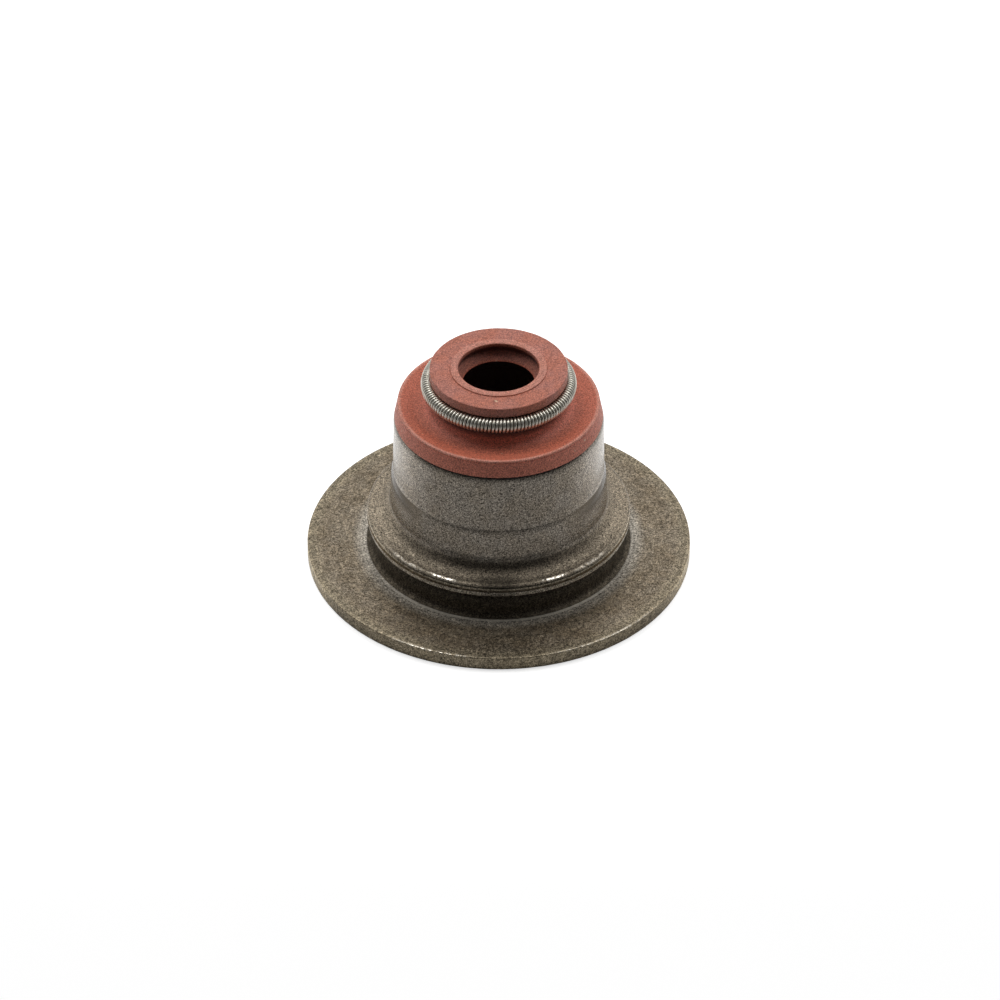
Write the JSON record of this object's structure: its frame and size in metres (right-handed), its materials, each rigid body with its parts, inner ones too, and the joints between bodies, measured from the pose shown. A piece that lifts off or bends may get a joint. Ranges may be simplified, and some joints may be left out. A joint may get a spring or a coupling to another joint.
{
  "type": "valve stem seal",
  "caption": "Spring-seat valve stem seal: rubber lip seal with a garter spring, bonded in a pressed sleeve whose foot stands on a wide flange for the valve spring",
  "frame": {"origin": "bottom centre: where the stem's axis meets the plane of the flange's underside", "axes": "+Z along the stem's axis, from the flange up to the rubber head; X and Y in the plane of the flange, all directions alike"},
  "size_m": [0.035, 0.035, 0.0205],
  "materials": {
    "seal_rubber": "matte brick-red moulded rubber with a fine speckle",
    "spring_steel": "bright drawn steel wire",
    "sleeve_steel": "satin grey phosphated steel sheet, fine grained, with a bright sheared edge",
    "seat_steel": "brown-grey mottled steel sheet with faint rings and a rubbed bright edge"
  },
  "bodies": {
    "root": {"rubber_seal": "seal_rubber", "garter_spring": "spring_steel", "metal_sleeve": "sleeve_steel", "spring_seat": "seat_steel"}
  },
  "joints": []
}
